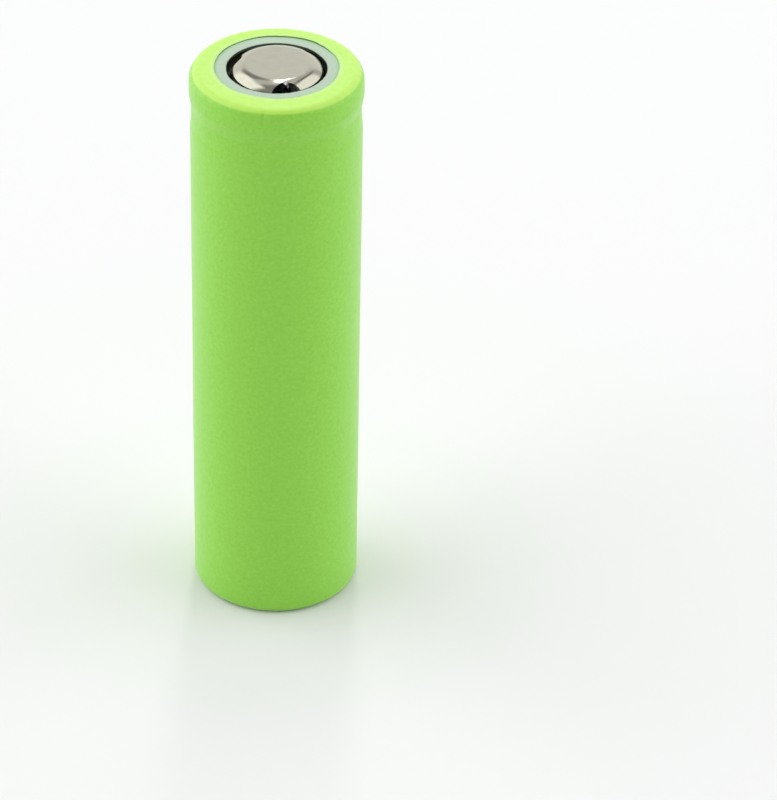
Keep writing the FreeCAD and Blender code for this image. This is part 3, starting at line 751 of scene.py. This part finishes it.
def build():
    """Materials for the carried-over nodes, and the pieces that stand for the other four."""
    for node, material in cad_materials().items():
        give(frame["nodes"][node], material)
    made = (
        (shrink_sleeve(), "shrink_sleeve", film_material(), "green_film"),
        (washer(), "insulating_washer", washer_material(), "washer_board"),
        (
            cap(),
            "positive_cap",
            nickel_material("plated_cap_steel", rgb(170, 168, 153), 0.10, 0.20),
            "plated_cap",
        ),
    )
    for obj, node, material, slot in made:
        give(obj, material)
        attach(obj, "cell")
        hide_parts(node)
    disc = vent()
    even = (1, 1, 1)
    vent_foil = ("vent_foil_aluminium", rgb(200, 201, 204), rgb(224, 225, 228), 0.22, even)
    give(disc, plain_metal_material(*vent_foil))
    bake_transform(disc)
    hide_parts("vent_disc")


# ---- stage ----------------------------------------------------------------------------------


def floor():
    """Pale, nearly matt table, far wider than the view."""
    half = 3000
    corners = [(-half, -half, 0), (half, -half, 0), (half, half, 0), (-half, half, 0)]
    obj = new_object("floor", corners, [(0, 1, 2, 3)])
    m = Material("pale_table", Specular_IOR_Level=0.15)
    cloud = m.noise(0.004, 3)
    m.set("Base Color", m.ramp(cloud, (0.3, (0.775, 0.778, 0.780)), (0.7, (0.785, 0.788, 0.790))))
    m.set("Roughness", m.ramp(m.noise(0.02, 2), (0.3, 0.75), (0.7, 0.85)))
    give(obj, m.material)


# radiance of each part of the room
LEFT_PANEL = 2.15
RIGHT_PANEL = 1.90
FRAME = 0.30  # dark edge of the right panel
WALL_LOW = 1.32
WALL_HIGH_LEFT = 0.40
WALL_HIGH_RIGHT = 0.90
FRONT = 0.45
ZENITH = 1.05


def area_light(name, azimuth, elevation, width, height, radiance, distance=700):
    """A soft light aimed at the cell. Azimuth 0 is at the camera's side and 90 at its right."""
    a, e = math.radians(azimuth), math.radians(elevation)
    away = Vector((math.sin(a) * math.cos(e), -math.cos(a) * math.cos(e), math.sin(e)))
    data = bpy.data.lights.new(name, "AREA")
    data.shape = "RECTANGLE"
    data.size, data.size_y = width * MM, height * MM
    data.energy = radiance * math.pi * data.size * data.size_y
    obj = bpy.data.objects.new(name, data)
    obj.location = (Vector((0, 0, 40)) + away * distance) * MM
    obj.rotation_mode = "QUATERNION"
    obj.rotation_quaternion = (-away).to_track_quat("-Z", "Y")
    bpy.context.scene.collection.objects.link(obj)


def surroundings():
    """Pale panels left and right, a paler low wall behind, and darker room everywhere else."""
    world = bpy.data.worlds.new("studio")
    bpy.context.scene.world = world
    world.use_nodes = True
    sky = Graph(world.node_tree)
    place = sky.nodes.new("ShaderNodeTexCoord").outputs["Generated"]
    parts = sky.nodes.new("ShaderNodeSeparateXYZ")
    sky.links.new(place, parts.inputs["Vector"])
    right, back, up = parts.outputs

    def panel(side, edge, soft, back_end, top):
        """Soft-edged share of the sky beyond an edge, but not at the front, back or top."""
        beyond = sky.between(side, edge, edge + soft)
        ahead = sky.between(back, back_end, back_end - 0.2)
        behind = sky.between(back, -0.62, -0.38)
        low = sky.between(up, top, top - 0.12)
        deep = sky.math("MULTIPLY", ahead, behind)
        return sky.math("MULTIPLY", beyond, sky.math("MULTIPLY", deep, low))

    left = sky.math("MULTIPLY", right, -1)
    side = sky.between(right, -0.10, 0.08)
    high = sky.mixed(side, (WALL_HIGH_LEFT,) * 3, (WALL_HIGH_RIGHT,) * 3)
    wall = sky.mixed(sky.between(up, 0.52, 0.63), (WALL_LOW,) * 3, high)
    light = sky.mixed(sky.between(back, 0.2, 0.5), (FRONT,) * 3, wall)
    overhead = sky.math("MULTIPLY", sky.between(up, 0.80, 0.90), sky.between(back, -0.25, 0.05))
    light = sky.mixed(overhead, light, (ZENITH,) * 3)
    light = sky.mixed(panel(left, 0.34, 0.16, 0.7, 0.94), light, (LEFT_PANEL,) * 3)
    light = sky.mixed(panel(right, 0.30, 0.05, 0.8, 0.98), light, (FRAME,) * 3)
    light = sky.mixed(panel(right, 0.43, 0.07, 0.7, 0.94), light, (RIGHT_PANEL,) * 3)
    sky.links.new(light, sky.nodes["Background"].inputs["Color"])


def camera():
    """Looks 34 degrees down, with the cell left of the middle."""
    pitch, roll = math.radians(34.08), math.radians(1.12)
    distance, aim = 450.9, Vector((12.38, -19.41, 36.02))
    back = Vector((0, -math.cos(pitch), math.sin(pitch)))
    data = bpy.data.cameras.new("camera")
    data.lens = 193.9
    data.sensor_width = 36.0
    data.clip_start, data.clip_end = 0.01, 20
    obj = bpy.data.objects.new("camera", data)
    obj.location = (aim + back * distance) * MM
    obj.rotation_euler = (math.pi / 2 - pitch, 0, 0)
    obj.rotation_euler.rotate_axis("Z", roll)
    bpy.context.scene.collection.objects.link(obj)
    bpy.context.scene.camera = obj


def lights():
    """One narrow strip high behind, for the highlight over the vent window."""
    area_light("back_top_strip", 178.6, 60, 50, 400, 9.0)


build()
floor()
surroundings()
lights()
camera()
bpy.context.scene.view_settings.view_transform = "Standard"
